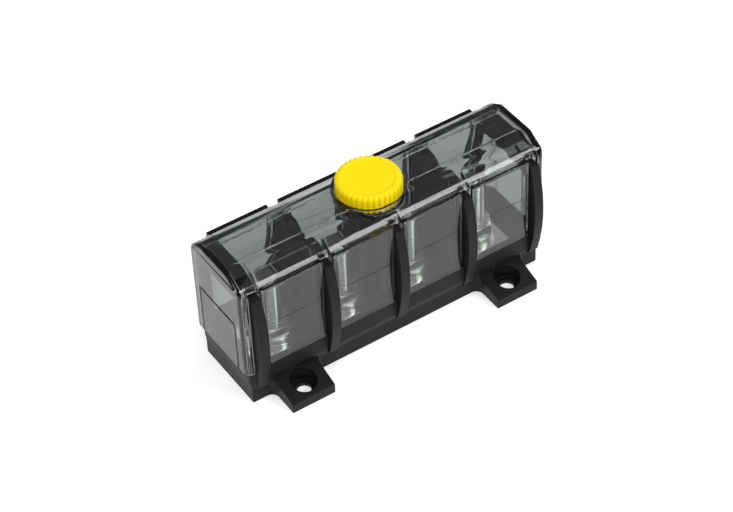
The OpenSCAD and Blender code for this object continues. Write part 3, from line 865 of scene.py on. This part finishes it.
def laid_back(made, data, limit):
    """Lays each point of a bevelled mesh that is further than the limit from the first mesh back on it."""
    before = bmesh.new()
    before.from_mesh(data)
    tree = BVHTree.FromBMesh(before)
    thrown = 0
    for point in made.vertices:
        place, _, _, distance = tree.find_nearest(point.co)
        if distance > limit * MM:
            point.co = place
            thrown += 1
    before.free()
    return thrown


print("sharp edges turn by more than", round(math.degrees(SHARP_EDGE)), "degrees")

# %% [markdown]
# Folds
#
# Where a wall has many short edges, its rounded outline can fold over itself. Such a face is still flat,
# but it is cut into triangles wrongly, and stray ones may fill an arch. A fold is found as the run of
# corners between two sides that cross, and it is small, so welding its corners into one point mends it
# without leaving a hole.

# %% Fold helpers
FOLD_REACH = 1.0
WELD_ROUNDS = 4
TOUCHING = 1e-9


def turn(a, b, c):
    """Twice the area of the triangles a, b, c in a plane: its sign says on which side of a line c lies."""
    return (b[..., 0] - a[..., 0]) * (c[..., 1] - a[..., 1]) - (b[..., 1] - a[..., 1]) * (c[..., 0] - a[..., 0])


def folds(outline):
    """Runs of corners, by number, that a flat outline folds over: those between two of its sides that cross.
    Two sides cross when each has its ends on both sides of the other."""
    count = len(outline)
    ahead = np.roll(outline, -1, 0)
    normal = np.cross(outline - outline[0], ahead - outline[0]).sum(0)
    along = ahead[0] - outline[0]
    aside = np.cross(normal, along)
    if not aside.any():
        return []
    flat = np.c_[outline @ along / np.linalg.norm(along), outline @ aside / np.linalg.norm(aside)]
    after = np.roll(flat, -1, 0)
    a, b, c, d = flat[:, None], after[:, None], flat[None], after[None]
    cross = (turn(a, b, c) * turn(a, b, d) < -TOUCHING) & (turn(c, d, a) * turn(c, d, b) < -TOUCHING)
    runs = [range(i + 1, j + 1) for i, j in zip(*np.nonzero(np.triu(cross, 2)))]
    return [run if len(run) <= count / 2 else range(run[-1] + 1, run[0] + count) for run in runs]


def weld_targets(faces):
    """Which corner each corner of a small fold is welded to; a corner belongs to one fold at most."""
    target = {}
    for face in faces:
        corners = face.verts[:]
        if len(corners) < 4:
            continue
        outline = np.array([corner.co[:] for corner in corners]) / MM
        for run in folds(outline):
            group = [corners[k % len(corners)] for k in run]
            spread = np.ptp([corner.co[:] for corner in group], axis=0).max() / MM
            if len(group) > 1 and spread < FOLD_REACH and not any(corner in target for corner in group):
                for corner in group:
                    target[corner] = group[0]
    return {corner: first for corner, first in target.items() if corner is not first}


def unfolded(data):
    """Welds small folds, a few times over; returns how many corners it welded and how many edges are open."""
    mesh = bmesh.new()
    mesh.from_mesh(data)
    welded = 0
    for _ in range(WELD_ROUNDS):
        target = weld_targets(mesh.faces)
        if not target:
            break
        welded += len(target)
        bmesh.ops.weld_verts(mesh, targetmap=target)
    opened = sum(1 for edge in mesh.edges if len(edge.link_faces) != 2)
    mesh.to_mesh(data)
    mesh.free()
    return welded, opened


print("folds up to", FOLD_REACH, "mm are welded")

# %% [markdown]
# The softened mouldings
#
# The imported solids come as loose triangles, so a copy of each is merged and its flat stretches become
# single faces again before it is rounded. On the clear cover the narrow curves catch the light as fine
# bright lines. The cover keeps its small folds, because welding them bent its end walls. Weighted normals
# then keep the broad faces flat.

# %% Softened mouldings
BEVEL_SEGMENTS = 3
LAY_BACK_SHARE = 1.4


def softened(node, name, width):
    """A merged copy of a CAD node, its sharp edges rounded by a bevel of a width in millimetres."""
    is_cover = node == "cover"
    data = cover_data if is_cover else merged(frame["nodes"][node].data)[0]
    data.shade_smooth()
    edge_weights(data, at_cover_end if is_cover else lambda middle: False)
    piece = put(name, data, node)
    bevel = piece.modifiers.new("edge_rounding", "BEVEL")
    bevel.width = width / PLAIN_SHARE * MM
    bevel.segments = BEVEL_SEGMENTS
    bevel.limit_method = "WEIGHT"
    bevel.use_clamp_overlap = False
    made = with_modifiers(piece)
    thrown = laid_back(made, data, LAY_BACK_SHARE * width)
    piece.modifiers.clear()
    piece.data = made
    welded = 0 if is_cover else unfolded(made)[0]
    print(name, thrown, "points laid back,", welded, "corners welded,", len(made.polygons), "faces")
    flat = piece.modifiers.new("flat_faces", "WEIGHTED_NORMAL")
    flat.keep_sharp = True
    flat.weight = 100


moulding_widths = {"base": 0.3, "cover": 0.25, "bottom_plate": 0.2, "busbar": 0.3}
for node, width in moulding_widths.items():
    softened(node, "softened_" + node, width)

# %% [markdown]
# Light
#
# A product photograph of something clear is lit by what it reflects: a white table in front and below, and
# soft boxes above. The floor is pale, and camera, glossy and transmitted rays see it brighter than the
# lamps make it, so that it looks white and still keeps the object's shadow. The world is white too where it
# is seen directly or through the cover, but it sends little light to matt faces and shows dark in mirrors,
# as a studio's ceiling does. So the lamps light the object at a plain level, and the metal has both dark
# and bright parts.

# %% Floor, world and lamps
def seen_directly(f):
    """One for camera, glossy and transmitted rays, zero for the rays that light a matt surface."""
    node = f.tree.nodes.new("ShaderNodeLightPath")
    camera_ray = Wire(f, node.outputs["Is Camera Ray"])
    glossy = Wire(f, node.outputs["Is Glossy Ray"])
    through = Wire(f, node.outputs["Is Transmission Ray"])
    return (camera_ray + glossy + through).clamp()


def make_floor():
    """A pale square that is stage and not part of the object."""
    f = Finish("pale_floor")
    f.set(Base_Color=(0.82, 0.82, 0.82), Roughness=0.9)
    f.set(Emission_Color=f.mix(seen_directly(f), (0.0, 0.0, 0.0), (1.0, 1.0, 1.0)), Emission_Strength=0.45)
    data = bpy.data.meshes.new("floor")
    half = 4.0
    corners = [(-half, -half, 0), (half, -half, 0), (half, half, 0), (-half, half, 0)]
    data.from_pydata(corners, [], [(0, 1, 2, 3)])
    floor = bpy.data.objects.new("floor", data)
    floor.data.materials.append(f.material)
    floor.location.z = -0.2 * MM
    bpy.context.scene.collection.objects.link(floor)


RAY_LEVELS = {"Is Camera Ray": 1.0, "Is Transmission Ray": 1.0, "Is Diffuse Ray": 0.35, "Is Glossy Ray": 0.18}


def make_world():
    """A white world whose strength is the largest of the levels of the rays that meet it."""
    world = bpy.data.worlds.new("studio")
    world.use_nodes = True
    bpy.context.scene.world = world
    tree = world.node_tree
    background = tree.nodes["Background"]
    background.inputs["Color"].default_value = (1.0, 1.0, 1.0, 1.0)
    path = tree.nodes.new("ShaderNodeLightPath")
    strength = None
    for ray, level in RAY_LEVELS.items():
        part = tree.nodes.new("ShaderNodeMath")
        part.operation = "MULTIPLY"
        part.inputs[1].default_value = level
        tree.links.new(path.outputs[ray], part.inputs[0])
        if strength:
            larger = tree.nodes.new("ShaderNodeMath")
            larger.operation = "MAXIMUM"
            tree.links.new(strength, larger.inputs[0])
            tree.links.new(part.outputs[0], larger.inputs[1])
            strength = larger.outputs[0]
        else:
            strength = part.outputs[0]
    tree.links.new(strength, background.inputs["Strength"])


def soft_box(name, place, target, size, watts):
    """A rectangular lamp at a place, in metres, that faces a target."""
    data = bpy.data.lights.new(name, "AREA")
    data.shape = "RECTANGLE"
    data.size, data.size_y = size
    data.energy = watts
    lamp = bpy.data.objects.new(name, data)
    lamp.location = place
    lamp.rotation_euler = (Vector(target) - Vector(place)).to_track_quat("-Z", "Y").to_euler()
    bpy.context.scene.collection.objects.link(lamp)


make_floor()
make_world()
soft_box("key_box", (-0.3, -0.15, 1.1), (0, 0, 0.03), (0.6, 0.6), 3.4)
soft_box("front_box", (0.43, -0.62, 0.82), (0, 0, 0.05), (0.5, 0.45), 5.2)
soft_box("left_box", (-1.0, -0.42, 0.8), (0, 0, 0.03), (0.5, 0.5), 4.5)
soft_box("side_box", (1.0, 0.1, 0.6), (0, 0, 0.03), (0.5, 0.6), 2.5)
bpy.context.scene.view_settings.view_transform = "Standard"
print("floor, world and lamps made")
